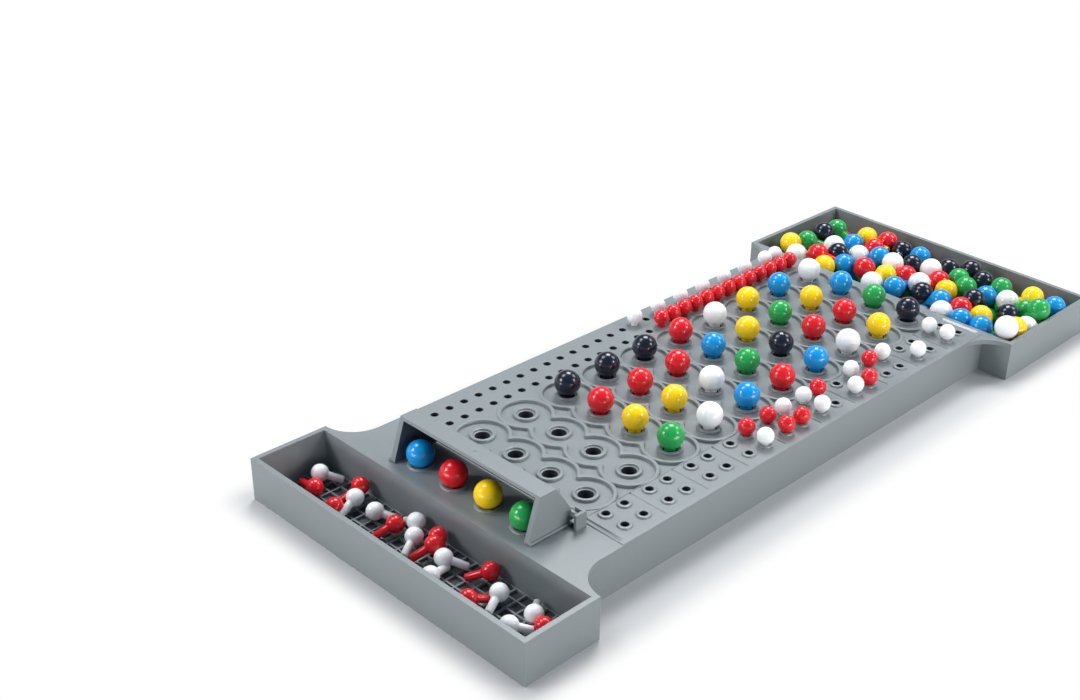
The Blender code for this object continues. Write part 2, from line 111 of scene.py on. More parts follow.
# Playing panel: how far it lies inside the deck's edge and behind the near end of the deck
panel_inset = 0.0003
side_skin = 0.00002
panel_margin = 0.0242
panel_round = 0.0004
panel_lap = 0.0015
panel_level = 0.01725
ground_level = 0.01635
pocket_level = 0.01625
ring_level = 0.01735
ledge_share = 0.3
crest_level = 0.01755
ridge_crown = 0.00035
ridge_foot = 0.0001
ring_crown = 0.0003
groove_level = 0.01680
key_ring_level = 0.01795
key_ring_crown = 0.00025
key_ring_foot = 0.00008
lip_round = 0.0002
lip_chamfer = 0.00006
ledge_foot = 0.00005
ridge_bends = (0, 27, 54, 80)
ring_bends = (0, 40, 80)
lip_turns = (90, 60, 30, 0)
rim_turns = (0, 22, 45, 68, 90)
rib_turns = (-90, -45, 0, 45, 80)
support = 0.00012
bore_bottom = 0.0080
bore_wall = 0.0007
bore_steps = 3
code_points, score_points, key_points = 16, 6, 8
hidden_rim_rise = 0.0005
hidden_rim_steps = 48

# Rims round the code holes, the wavy ridge of each row, and the key and score holes
code_hole_radius = 0.0028
ring_inner = 0.0038
ring_outer = 0.0045
ring_reach = 0.0050
ridge_inner = 0.0096
ridge_outer = 0.0105
ridge_waist = 0.0020
waist_rounds = 18
key_hole_radius = 0.0015
key_ring_edge = 0.0024
key_block_margin = 0.0115
key_spacing_x = 0.0088
key_spacing_y = 0.009
key_strip_margin = 0.0197
pad_outer_margin = 0.0024
pad_gap = 0.0004
strip_rib = 0.00028
groove_end = 0.00015
score_hole_radius = 0.0015
score_track_margin = 0.0075
score_track_spacing = 0.0085
score_track_count = 2
score_steps_per_row = 3
score_strip_margin = 0.0184

# Lattice on the near tray's floor
rib_pitch = 0.00487
rib_width = 0.0007
rib_top = 0.0016
rib_round = 0.0002
cross_bar_drop = 0.00002
ground_rise = 0.0001

# Code shield: its side view, measured from the near end of the deck and up from the deck
shield_wall = 0.0012
shield_end = 0.0022
shield_foot = (0.0020, 0.0003)
shield_front_top = (0.0072, 0.0164)
shield_roof_back = (0.0142, 0.0164)
shield_bend = (0.0205, 0.0068)
shield_heel = (0.0223, 0.0010)
shield_round = 0.00055
flange_width = 0.0010
flange_height = 0.0009
nub_radius = 0.0009
nub_height = 0.00035
nub_arc = (75, 20, 4)
nub_steps = 16
hinge_pin_radius = 0.0012
hinge_pin_length = 0.0040
post_length = 0.0048
post_thickness = 0.0044
post_headroom = 0.0021
post_plate = 0.00115
slot_sill = 0.00001
well_margin = 0.00025
pin_reach = 0.0029
pin_chamfer = 0.0003
pin_steps = 24
gap = 0.0003

# Pegs
code_radius = 0.005
code_stem_radius = 0.0024
code_stem = 0.0085
key_radius = 0.00325
key_stem_radius = 0.00145
key_stem = 0.0056
peg_steps = 40
ball_bands = 22
tip_chamfer = 0.0003
neck_round = 0.0006
neck_shares = (0.6, 0.3, 0.0)
stem_taper = 0.95

# Colours of the plastic, linear, and its texture
board_grey = (0.198, 0.221, 0.228)
# Painted shade: a near-black tone for the near tray's floor between the lattice's ribs
shadow_grey = (0.030, 0.036, 0.046)
# Painted shade: a dark tone for the bores under the holes, where light hardly reaches
bore_painted_shade_grey = (0.035, 0.042, 0.050)
# Painted shade: a dark navy tone for the hood's inside, where its roof shades it
hood_inside_painted_shade_grey = (0.045, 0.058, 0.080)
peg_colours = {
    "red": (0.690, 0.010, 0.018),
    "yellow": (0.940, 0.600, 0.003),
    "blue": (0.004, 0.270, 0.650),
    "green": (0.016, 0.330, 0.070),
    "black": (0.008, 0.011, 0.024),
    "white": (0.850, 0.860, 0.865),
}
red, yellow, blue, green, black, white = peg_colours
noise_span = (0.1, 0.9)
grain_strength = 0.35
# Scale and depth
board_grain = (2600, 0.00002)
floor_grain = (2600, 0.00003)
peg_grain = (1500, 0.00001)

# The game in progress, as the frame's pegs stand
hidden_code = (blue, red, yellow, green)
guesses = {
    3: (black, red, yellow, green),
    4: (black, red, yellow, white),
    5: (black, red, white, blue),
    6: (red, blue, green, red),
    7: (white, yellow, black, blue),
    8: (yellow, green, red, white),
    9: (blue, yellow, red, yellow),
    10: (white, blue, green, black),
}
answers = {
    4: ("", "", red, white),
    5: (red, red, white, red),
    6: (white, white, red, ""),
    7: ("", white, white, red),
    8: (red, "", white, ""),
    9: ("", white, "", ""),
    10: (white, white, "", ""),
}
score_pegs = (
    (white, (15, 17, 19, 21, 23, 25, 27, 28)),
    (red, tuple(range(16, 29))),
)

# Loose key pegs in the near tray: colour, place of the head in mm, its height over the tray's
# floor in ball diameters, and the way that the stem points, in degrees from +X
loose_key_pegs = {
    "loose_key_pegs_left": (
        (white, -60.0, -148.1, 0.1, 40), (red, -54.5, -154.5, 0.0, 178),
    ),
    "loose_key_pegs_inner": (
        (red, -42.0, -144.1, 0.3, 262), (white, -38.8, -148.8, 0.1, 285),
        (red, -40.2, -156.6, 0.0, 200), (white, -28.3, -148.4, 0.0, 30),
    ),
    "loose_key_pegs_middle": (
        (red, -16.8, -148.9, 0.1, 258), (white, -11.2, -144.3, 0.35, 170),
        (white, -6.8, -148.8, 0.1, 296), (red, 0.0, -144.3, 0.3, 340),
        (red, 3.1, -148.6, 0.35, 245), (white, 9.2, -149.6, 0.1, 33),
        (white, 12.9, -158.3, 0.0, 100),
    ),
    "loose_key_pegs_right": (
        (red, 25.7, -143.7, 0.15, 226), (white, 35.3, -148.7, 0.05, 293),
        (red, 30.4, -157.6, 0.0, 60), (white, 51.0, -148.3, 0.05, 130),
        (white, 49.3, -157.3, 0.0, 40), (red, 57.3, -150.0, 0.0, 160),
    ),
}

# Spare code pegs that show in the far tray: colour and place in mm, at the heap's usual height
heap_level = 0.014
spare_code_pegs = (
    (yellow, -57.4, 119.7), (green, -55.5, 127.3), (black, -55.1, 141.1), (green, -53.5, 149.4),
    (white, -48.9, 114.5), (white, -42.7, 134.1), (red, -42.3, 120.0), (blue, -38.1, 141.1),
    (black, -37.5, 127.1), (yellow, -36.9, 151.8), (yellow, -33.3, 112.2), (red, -29.7, 156.1),
    (white, -29.6, 134.1), (blue, -28.6, 120.9), (red, -28.0, 144.9), (blue, -20.9, 138.3),
    (red, -19.0, 124.5), (black, -18.6, 153.6), (white, -12.6, 138.6), (yellow, -7.8, 124.8),
    (white, -7.8, 114.7), (blue, -7.1, 150.0), (black, -5.7, 142.7), (red, -0.4, 131.3),
    (white, 2.1, 146.1), (blue, 2.1, 117.4), (white, 8.2, 129.0), (black, 8.6, 151.5),
    (red, 12.6, 137.2), (black, 13.6, 123.4), (black, 17.3, 156.0), (green, 17.4, 145.8),
    (yellow, 20.6, 131.1), (blue, 23.5, 121.4), (green, 25.7, 139.9), (black, 26.1, 152.0),
    (white, 30.1, 113.0), (red, 33.3, 122.6), (black, 34.0, 132.9), (green, 35.4, 150.6),
    (blue, 36.8, 137.5), (blue, 40.0, 113.0), (yellow, 44.7, 121.1), (white, 45.8, 142.6),
    (blue, 49.7, 113.1), (yellow, 53.3, 149.2), (black, 53.6, 129.4), (green, 56.8, 140.5),
    (white, 58.2, 112.1), (yellow, 60.7, 122.1), (white, 64.5, 130.7), (green, 64.6, 139.8),
    (blue, 65.0, 154.1),
)

# Places that follow from the frame
board_low, board_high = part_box("game_board")
near_edge, far_edge = board_low.y, board_high.y
half_tray = board_high.x
half_body = half_tray - shoulder
body_near = near_edge + near_tray_depth
body_far = far_edge - far_tray_depth
pad_middle = half_body - key_block_margin


def middle_of(node):
    low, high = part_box(node)
    return (low + high) / 2


corner_peg = middle_of("guess_peg_r3_c1")
row_pitch = (middle_of("guess_peg_r10_c1").y - corner_peg.y) / (10 - 3)
column_pitch = (middle_of("guess_peg_r3_c4").x - corner_peg.x) / (4 - 1)
hidden_row_y = middle_of("secret_peg_1").y
row_count = 10
column_count = 4


def row_y(row):
    """Rows count from 1, at the hidden code's end."""
    return corner_peg.y + (row - 3) * row_pitch


def column_x(column):
    """Columns count from 1, at the score tracks' side."""
    return (column - (column_count + 1) / 2) * column_pitch


# Materials


def add_node(tree, kind, inputs=None, **settings):
    """A shader node. Its inputs, by name or number, are linked from an output or set to a value."""
    node = tree.nodes.new("ShaderNode" + kind)
    for name, setting in settings.items():
        setattr(node, name, setting)
    for key, value in (inputs or {}).items():
        if isinstance(value, bpy.types.NodeSocket):
            tree.links.new(value, node.inputs[key])
        else:
            node.inputs[key].default_value = value
    return node


def add_noise(tree, place, scale, detail):
    inputs = {"Vector": place, "Scale": scale, "Detail": detail}
    return add_node(tree, "TexNoise", inputs).outputs["Fac"]


def add_range(tree, value, old, new=(0, 1), **settings):
    inputs = {"Value": value, "From Min": old[0], "From Max": old[1]}
    inputs.update({"To Min": new[0], "To Max": new[1]})
    return add_node(tree, "MapRange", inputs, **settings).outputs["Result"]


def plastic(name, colour, variation, roughness, cloud_scale, grain=board_grain):
    """Moulded plastic: faint clouds in its colour and gloss, and a fine grain from the mould."""
    material = bpy.data.materials.new(name)
    material.use_nodes = True
    tree = material.node_tree
    shader = tree.nodes["Principled BSDF"]
    place = add_node(tree, "TexCoord").outputs["Object"]
    clouds = add_noise(tree, place, cloud_scale, 1)
    tones = add_node(tree, "ValToRGB", {"Fac": clouds})
    levels = (1 - variation, 1 + variation)
    for element, position, level in zip(tones.color_ramp.elements, noise_span, levels):
        element.position = position
        element.color = (*[min(channel * level, 1) for channel in colour], 1)
    scale, depth = grain
    heights = add_noise(tree, place, scale, 2)
    inputs = {"Strength": grain_strength, "Distance": depth, "Height": heights}
    bump = add_node(tree, "Bump", inputs)
    tree.links.new(tones.outputs["Color"], shader.inputs["Base Color"])
    tree.links.new(add_range(tree, clouds, noise_span, roughness), shader.inputs["Roughness"])
    tree.links.new(bump.outputs["Normal"], shader.inputs["Normal"])
    return material


board_plastic = plastic("board_plastic", board_grey, 0.03, (0.32, 0.38), 700)
# Painted shade for the inside of the holes' bores
bore_painted_shade_plastic = plastic("bore_painted_shade_plastic", bore_painted_shade_grey, 0.1, (0.4, 0.5), 200)
shield_plastic = plastic("shield_plastic", board_grey, 0.03, (0.32, 0.38), 700)
hood_inside_painted_shade_plastic = plastic("shield_inside_painted_shade", hood_inside_painted_shade_grey, 0.1, (0.62, 0.72), 300)
# Painted shade for the near tray's floor under the lattice
painted_shade_floor_plastic = plastic("tray_floor_painted_shade", shadow_grey, 0.15, (0.45, 0.6), 200, floor_grain)
peg_plastics = {
    name: plastic("peg_" + name, colour, 0.04, (0.18, 0.24), 120, peg_grain)
    for name, colour in peg_colours.items()
}


# Mesh helpers


def paint(mesh, *materials):
    for material in materials:
        mesh.materials.append(material)


def new_object(name, data):
    made = bpy.data.objects.new(name, data)
    bpy.context.scene.collection.objects.link(made)
    return made


def finish_mesh(shape, name, sharp_degrees):
    """The bmesh as a mesh with smooth faces and sharp corners."""
    mesh = bpy.data.meshes.new(name)
    shape.to_mesh(mesh)
    shape.free()
    mesh.shade_smooth()
    mesh.set_sharp_from_angle(angle=radians(sharp_degrees))
    return mesh


def finish_piece(shape, name, *materials, sharp_degrees=sharp_corner):
    made = new_object(name, finish_mesh(shape, name, sharp_degrees))
    paint(made.data, *materials)
    return made


def arc(centre, radius, start, end, steps):
    """Points from the start angle to the end angle, in degrees, both included."""
    angles = [radians(start + (end - start) * step / steps) for step in range(steps + 1)]
    return [(centre[0] + radius * cos(a), centre[1] + radius * sin(a)) for a in angles]


def add_box(shape, low, high):
    size = Vector(high) - Vector(low)
    centre = (Vector(high) + Vector(low)) / 2
    matrix = Matrix.Translation(centre) @ Matrix.Diagonal(size.to_4d())
    bmesh.ops.create_cube(shape, size=1, matrix=matrix)


def add_prism(shape, outline, matrix, depth):
    """An outline in the XY plane, extruded along Z and put in its place."""
    lower = [shape.verts.new(matrix @ Vector((x, y, 0))) for x, y in outline]
    upper = [shape.verts.new(matrix @ Vector((x, y, depth))) for x, y in outline]
    shape.faces.new(lower[::-1])
    shape.faces.new(upper)
    for i in range(len(outline)):
        j = (i + 1) % len(outline)
        shape.faces.new((lower[i], lower[j], upper[j], upper[i]))


def combine(target, build, operation):
    """Cut the target with the shape that build makes, or join it on."""
    shape = bmesh.new()
    build(shape)
    bmesh.ops.recalc_face_normals(shape, faces=shape.faces)
    mesh = bpy.data.meshes.new("tool")
    shape.to_mesh(mesh)
    shape.free()
    tool = new_object("tool", mesh)
    step = target.modifiers.new("shape", "BOOLEAN")
    step.solver = "EXACT"
    step.operation = operation
    step.object = tool
    apply_modifiers(target)
    bpy.data.objects.remove(tool, do_unlink=True)


def apply_modifiers(target):
    bpy.context.view_layer.update()
    evaluated = target.evaluated_get(bpy.context.evaluated_depsgraph_get())
    shaped = bpy.data.meshes.new_from_object(evaluated)
    target.modifiers.clear()
    target.data = shaped


def round_edges(target, radius, segments, *materials):
    """Round every corner of a finished form, as a mould does, and give it its materials."""
    shape = bmesh.new()
    shape.from_mesh(target.data)
    bmesh.ops.remove_doubles(shape, verts=shape.verts, dist=merge_distance)
    bmesh.ops.connect_verts_concave(shape, faces=shape.faces)
    shape.to_mesh(target.data)
    shape.free()
    bevel = target.modifiers.new("rounding", "BEVEL")
    bevel.width = radius
    bevel.segments = segments
    bevel.limit_method = "ANGLE"
    bevel.angle_limit = radians(rounded_corner)
    bevel.miter_outer = "MITER_ARC"
    apply_modifiers(target)
    target.data.shade_smooth()
    target.data.set_sharp_from_angle(angle=radians(sharp_beside_rounding))
    # Keeps the flat faces flat in shading, beside their rounded edges
    weighing = target.modifiers.new("normals", "WEIGHTED_NORMAL")
    weighing.keep_sharp = True
    weighing.weight = 100
    target.data.materials.clear()
    paint(target.data, *materials)


def turned(name, profile, steps, *materials):
    """A profile of (radius, height), from its top on the axis down, turned about Z."""
    shape = bmesh.new()
    rings = []
    for radius, height in profile:
        if radius == 0:
            rings.append([shape.verts.new((0, 0, height))] * steps)
            continue
        ring = []
        for step in range(steps):
            a = tau * step / steps
            ring.append(shape.verts.new((radius * cos(a), radius * sin(a), height)))
        rings.append(ring)
    for upper, lower in zip(rings, rings[1:]):
        for i in range(steps):
            j = (i + 1) % steps
            corners = dict.fromkeys((upper[i], lower[i], lower[j], upper[j]))
            shape.faces.new(tuple(corners))
    mesh = finish_mesh(shape, name, sharp_on_turned)
    paint(mesh, *materials)
    return mesh


# Pegs


def peg_profile(radius, stem_radius, stem_length):
    """From the crown down: ball, soft neck, and a slightly tapered stem with a chamfered tip."""
    neck = pi - asin((stem_radius + neck_round) / radius)
    angles = [neck * band / ball_bands for band in range(ball_bands + 1)]
    ball = [(radius * sin(a), radius * cos(a)) for a in angles]
    ball[0] = (0, radius)
    throat = radius * cos(neck)
    bend = []
    for share in neck_shares:
        bend.append((stem_radius + neck_round * share**2, throat - neck_round * (1 - share)))
    tip = -radius - stem_length
    slim = stem_radius * stem_taper
    return ball + bend + [(slim, tip + tip_chamfer), (slim - tip_chamfer, tip), (0, tip)]


code_profile = peg_profile(code_radius, code_stem_radius, code_stem)
key_profile = peg_profile(key_radius, key_stem_radius, key_stem)
code_meshes = {}
key_meshes = {}
for colour, material in peg_plastics.items():
    code_meshes[colour] = turned("code_peg_" + colour, code_profile, peg_steps, material)
    if colour in (red, white):
        key_meshes[colour] = turned("key_peg_" + colour, key_profile, peg_steps, material)


def place_peg(name, meshes, colour, radius, place, node=None):
    """A standing peg, as high as the one that it replaces. A score peg is as high as a key peg."""
    peg = new_object(name, meshes[colour])
    peg.location = (*place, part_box(node or "key_peg_r5_n1")[1].z - radius)
    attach(peg, node or "board")
    if node:
        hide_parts(node)


def key_hole(row, number):
    """Holes 1 to 4 of a row's block: inner near, outer near, inner far and outer far."""
    across = (-1, 1)[(number - 1) % 2]
    along = (-1, 1)[(number - 1) // 2]
    return pad_middle + across * key_spacing_x / 2, row_y(row) + along * key_spacing_y / 2


for column, colour in enumerate(hidden_code, 1):
    place = (column_x(column), hidden_row_y)
    name = f"secret_code_peg_{column}"
    place_peg(name, code_meshes, colour, code_radius, place, f"secret_peg_{column}")
for row, colours in guesses.items():
    for column, colour in enumerate(colours, 1):
        place = (column_x(column), row_y(row))
        name = f"code_peg_r{row}_c{column}"
        place_peg(name, code_meshes, colour, code_radius, place, f"guess_peg_r{row}_c{column}")
for row, colours in answers.items():
    for number, colour in enumerate(colours, 1):
        if colour:
            name, node = f"answer_peg_r{row}_n{number}", f"key_peg_r{row}_n{number}"
            place_peg(name, key_meshes, colour, key_radius, key_hole(row, number), node)

score_pitch = row_pitch / score_steps_per_row
score_count = score_steps_per_row * row_count - 1
score_middle_y = (row_y(1) + row_y(row_count)) / 2


def score_hole(track, step):
    x = -half_body + score_track_margin + track * score_track_spacing
    return x, score_middle_y + (step - (score_count - 1) / 2) * score_pitch


for track, (colour, steps) in enumerate(score_pegs):
    for step in steps:
        name = f"score_peg_{colour}_{step:02d}"
        place_peg(name, key_meshes, colour, key_radius, score_hole(track, step))


# Loose pegs


def lying(place, heading, lean):
    """A peg's matrix with its stem turned to a heading and raised by lean from straight down."""
    turn = Matrix.Rotation(heading, 4, "Z") @ Matrix.Rotation(-lean, 4, "Y")
    return Matrix.Translation(place) @ turn


def heap_object(name, node, profile, pegs):
    """Loose pegs as one piece. pegs lists each one's colour and matrix."""
    colours = list(peg_plastics)
    heap = bmesh.new()
    model = turned("model", profile, peg_steps)
    for colour, matrix in pegs:
        copy = model.copy()
        copy.transform(matrix)
        first = len(heap.faces)
        heap.from_mesh(copy)
        heap.faces.ensure_lookup_table()
        for face in heap.faces[first:]:
            face.material_index = colours.index(colour)
    made = finish_piece(heap, name, *peg_plastics.values(), sharp_degrees=sharp_on_turned)
    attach(made, "board")
    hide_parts(node)


for node, group in loose_key_pegs.items():
    pegs = []
    for colour, x, y, raised, heading in group:
        x, y = x / 1000, y / 1000
        height = rib_top + gap + key_radius + raised * 2 * key_radius
        drop = (height - rib_top - gap - key_stem_radius) / (key_radius + key_stem)
        lean = acos(min(drop, 1))
        pegs.append((colour, lying((x, y, height), radians(heading), lean)))
    heap_object(node.replace("pegs", "peg_heap"), node, key_profile, pegs)

heap_middle = Vector((0, (body_far + far_edge) / 2, heap_level))
# A head that moves along this keeps its place in the photograph
sight = camera_place - heap_middle
sight /= sight.z
heap_floor = 0.0018
heap_rounds = 60
sight_share, push_share = 0.8, 0.2


def settle(balls, movable):
    """Push balls that overlap apart, mostly along the camera's sight, so that the view stays."""
    inside_x = half_tray - wall - code_radius - gap
    low_y = body_far + wall + code_radius + gap
    high_y = far_edge - wall - code_radius - gap
    for _ in range(heap_rounds):
        for i, here in enumerate(balls):
            for j in range(i):
                there = balls[j]
                between = here - there
                overlap = 2 * code_radius - between.length
                if overlap > 0:
                    push = between.normalized() * overlap / 2
                    along = sight * (push.dot(sight) / sight.length_squared)
                    shift = along * sight_share + push * push_share
                    balls[i] = here = here + shift * movable[i]
                    balls[j] = there - shift * movable[j]
        for i, ball in enumerate(balls):
            ball.x = max(-inside_x, min(inside_x, ball.x))
            ball.y = max(low_y, min(high_y, ball.y))
            ball.z = max(heap_floor + code_radius, ball.z)
    return balls


# The heap's lower layer, which the photograph hides: staggered rows that give way less
lower_rows = 5
lower_columns = 12
lower_stagger = 0.25
lower_movable = 0.6
# How the stems point and lean, differently from peg to peg, and inward near the walls
heading_step = 0.381966
heading_swing = 0.6
wall_reach = 0.02
mean_lean, lean_swing, lean_step = 58, 22, 2.3
balls = [Vector((x / 1000, y / 1000, heap_level)) for _, x, y in spare_code_pegs]
colours = [colour for colour, _, _ in spare_code_pegs]
movable = [1.0] * len(balls)
names = list(peg_colours)
for i in range(lower_rows):
    for j in range(lower_columns):
        across = (j + 0.5 + lower_stagger * (-1) ** i) / lower_columns
        along = (i + 0.5) / lower_rows
        margin = wall + code_radius
        x = (2 * across - 1) * (half_tray - margin)
        y = body_far + margin + along * (far_tray_depth - 2 * margin)
        balls.append(Vector((x, y, heap_floor + code_radius)))
        colours.append(names[(3 * i + 5 * j + i * j) % len(names)])
        movable.append(lower_movable)
balls = settle(balls, movable)
heap = []
for number, (colour, ball) in enumerate(zip(colours, balls)):
    heading = tau * ((number * heading_step) % 1)
    inward = Vector((-ball.x, heap_middle.y - ball.y))
    beside_end = abs(ball.x) > half_tray - wall_reach
    if beside_end or abs(inward.y) > far_tray_depth / 2 - wall_reach:
        heading = atan2(inward.y, inward.x) + heading_swing * sin(number)
    lean = radians(mean_lean + lean_swing * sin(lean_step * number))
    # A stem's tip stays above the tray's floor
    drop = (ball.z - heap_floor - code_stem_radius) / (code_radius + code_stem)
    lean = max(lean, acos(max(min(drop, 1), 0)))
    heap.append((colour, lying(ball, heading, lean)))
heap_object("spare_peg_heap", "spare_code_pegs", code_profile, heap)


# Board shell


def board_outline():
    side = [(half_tray, near_edge)]
    side += arc((half_tray, body_near + shoulder), shoulder, 270, 180, shoulder_steps)
    side += arc((half_tray, body_far - shoulder), shoulder, 180, 90, shoulder_steps)
    side += [(half_tray, far_edge)]
    return side + [(-x, y) for x, y in reversed(side)]


shape = bmesh.new()
add_prism(shape, board_outline(), Matrix.Identity(4), deck_top)
shell = finish_piece(shape, "board_shell")


def under_webs(shape):
    web_bottom = deck_top - shoulder_web
    for side in (-1, 1):
        inner, outer = sorted((side * half_body, side * (half_tray + overrun)))
        for near in (body_near, body_far - shoulder):
            add_box(shape, (inner, near, -overrun), (outer, near + shoulder, web_bottom))


def hollows(shape):
    inside = half_body - wall
    under = deck_top - deck_wall
    add_box(shape, (-inside, body_near + wall, -overrun), (inside, body_far - wall, under))
    for low, high in ((near_edge + wall, body_near - wall), (body_far + wall, far_edge - wall)):
        inside = half_tray - wall
        add_box(shape, (-inside, low, tray_floor), (inside, high, deck_top + overrun))


panel_near = body_near + panel_margin
panel_far = body_far - panel_inset
half_panel = half_body + side_skin


def panel_opening(shape):
    inside = half_body - panel_lap
    low = (-inside, panel_near + panel_lap, deck_top - 2 * deck_wall)
    add_box(shape, low, (inside, panel_far - panel_lap, deck_top + overrun))


def hidden_holes(shape):
    last = hidden_hole_steps - 1
    base = Matrix.Translation((0, 0, deck_top - 2 * deck_wall))
    for column in range(1, column_count + 1):
        centre = (column_x(column), hidden_row_y)
        circle = arc(centre, ring_reach - gap, 0, 360 * last / hidden_hole_steps, last)
        add_prism(shape, circle, base, 2 * deck_wall + overrun)


half_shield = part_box("code_shield")[1].x - hinge_pin_length
hinge = next(joint for joint in frame["joints"] if joint["name"] == "shield_hinge")
hinge_place = Vector(hinge["pos_m"])
post_near, post_far = hinge_place.y - post_length / 2, hinge_place.y + post_length / 2
post_top = hinge_place.z + post_headroom
post_start = half_shield + gap
post_end = post_start + post_thickness


def add_pair(shape, start, end, near, far, bottom, top):
    """Two boxes, from start to end on either side of the board's middle."""
    for side in (-1, 1):
        low, high = sorted((side * start, side * end))
        add_box(shape, (low, near, bottom), (high, far, top))


def posts(shape):
    root = deck_top - deck_wall / 2
    add_pair(shape, post_start, post_end, post_near, post_far, root, post_top)


def post_slots(shape):
    """The slot that the pin drops into, open above, towards the shield and at the near side."""
    start, end = half_shield - overrun, post_end - post_plate
    near, far = post_near - overrun, post_near + post_length - post_plate
    add_pair(shape, start, end, near, far, deck_top + slot_sill, post_top + overrun)


def slot_wells(shape):
    """The hole under each slot, where the mould's core came up through the deck."""
    start, end = post_start + well_margin, post_end - post_plate - well_margin
    near, far = post_near + well_margin, post_near + post_length - post_plate - well_margin
    bottom = deck_top - 2 * deck_wall
    add_pair(shape, start, end, near, far, bottom, post_top + overrun)


for cutter in (under_webs, hollows, panel_opening, hidden_holes):
    combine(shell, cutter, "DIFFERENCE")
combine(shell, posts, "UNION")
combine(shell, post_slots, "DIFFERENCE")
combine(shell, slot_wells, "DIFFERENCE")
round_edges(shell, edge_round, 3, board_plastic)


# Playing panel, made of one block for each hole


def rounding(radius, turns):
    """How far a rounding has come along and down at each of its turns, in degrees."""
    return [(radius * sin(a), radius * (1 - cos(a))) for a in map(radians, turns)]


def flank(edge, way, low, high, crown, foot, bends=ridge_bends):
    """A ridge's side from its top down: rounded crown, steep wall, filleted foot, a bit of ground.

    edge is the distance at which the crown starts to bend, and way is +1 outward or -1 inward.
    """
    steep = radians(bends[-1])
    points = [(edge - way * crown / 4, high)]
    points += [(edge + way * along, high - down) for along, down in rounding(crown, bends)]
    wall_drop = points[-1][1] - low - foot * (1 - cos(steep))
    reach = points[-1][0] + way * (wall_drop / tan(steep) + foot * sin(steep))
    points += [(reach - way * along, low + down) for along, down in rounding(foot, bends[::-1])]
    points.append((reach + way * support, low))
    return points if way > 0 else points[::-1]


def bore(radius):
    """The tube that guides the stem under a hole, from its root down and up the inside."""
    root = deck_top - deck_wall
    return [(radius + bore_wall, root), (radius + bore_wall, bore_bottom), (radius, bore_bottom)]


def code_relief(floor_level, crest):
    """From a code hole outward: bore, ledge, raised rim and pocket."""
    ledge = floor_level + ledge_share * (crest - floor_level)
    relief = bore(code_hole_radius) + [(code_hole_radius, ledge - lip_round)]
    relief.append((code_hole_radius + lip_chamfer, ledge - lip_chamfer))
    relief.append((code_hole_radius + lip_round, ledge))
    relief += flank(ring_inner, -1, ledge, crest, ring_crown, ledge_foot, ring_bends)[1:]
    relief += flank(ring_outer, 1, floor_level, crest, ring_crown, ridge_foot)[1:]
    return relief


def ridge_relief():
    """A code hole's relief, and beyond its pocket the wavy ridge that closes it in."""
    relief = code_relief(pocket_level, ring_level)
    relief += flank(ridge_inner, -1, pocket_level, crest_level, ridge_crown, ridge_foot)
    relief += flank(ridge_outer, 1, ground_level, crest_level, ridge_crown, ridge_foot)
    return relief


def small_relief(hole_radius, level, ring_edge=None, ring_level=None):
    """From a key or score hole outward: bore, rounded lip, and a raised ring where it has one."""
    relief = bore(hole_radius)
    lip = level if ring_edge is None else ring_level
    for along, down in rounding(lip_round, lip_turns):
        relief.append((hole_radius + lip_round - along, lip - down))
    if ring_edge is None:
        return relief + [(relief[-1][0] + support, level)]
    ring = flank(ring_edge, 1, level, ring_level, key_ring_crown, key_ring_foot, ring_bends)
    return relief + ring[1:]


def level_at(relief, distance):
    """Height of a relief at a distance from the hole's axis."""
    for (inner, low), (outer, high) in zip(relief, relief[1:]):
        if inner <= distance <= outer and outer > inner:
            return low + (high - low) * (distance - inner) / (outer - inner)
    return relief[-1][1]


def nearness(point, centre, neighbours):
    """Distance from the nearest of a row's holes, eased where two of them are about as near."""
    reach = (point - centre).length
    for other in neighbours:
        away = (point - other).length
        blend = max(ridge_waist - abs(away - reach), 0)
        if blend:
            reach = min(away, reach) - blend**2 / (4 * ridge_waist)
    return reach


def place_on_ray(point, centre, neighbours, near, distance):
    """Where the ray from the centre to the point reaches this nearness. near is the point's own."""
    reach = (point - centre).length
    if reach - near < tiny or distance < ring_reach:
        return centre + (point - centre) * (distance / reach)
    low, high = 0.0, 1.0
    for _ in range(waist_rounds):
        middle = (low + high) / 2
        if nearness(centre + (point - centre) * middle, centre, neighbours) < distance:
            low = middle
        else:
            high = middle
    return centre + (point - centre) * high


def side_points(start, end, centre, relief, points, shared):
    """Even points along a block's side, and the places where the relief's circles cross it."""
    # On a border between two holes both are as near, where nearness takes off a quarter waist
    eased_by = ridge_waist / 4 if shared else 0
    length = (end - start).length
    along = (end - start) / length
    foot = (centre - start).dot(along)
    off = (centre - start - along * foot).length
    crossings = []
    for distance, _ in relief:
        distance += eased_by
        if distance > off:
            half = sqrt(distance**2 - off**2)
            both = (foot - half, foot + half)
            crossings += [place for place in both if tiny < place < length - tiny]
    places = [0.0] + crossings
    for step in range(1, points):
        place = length * step / points
        if all(abs(place - crossing) > length / points / 4 for crossing in crossings):
            places.append(place)
    return [start + along * place for place in sorted(places)]


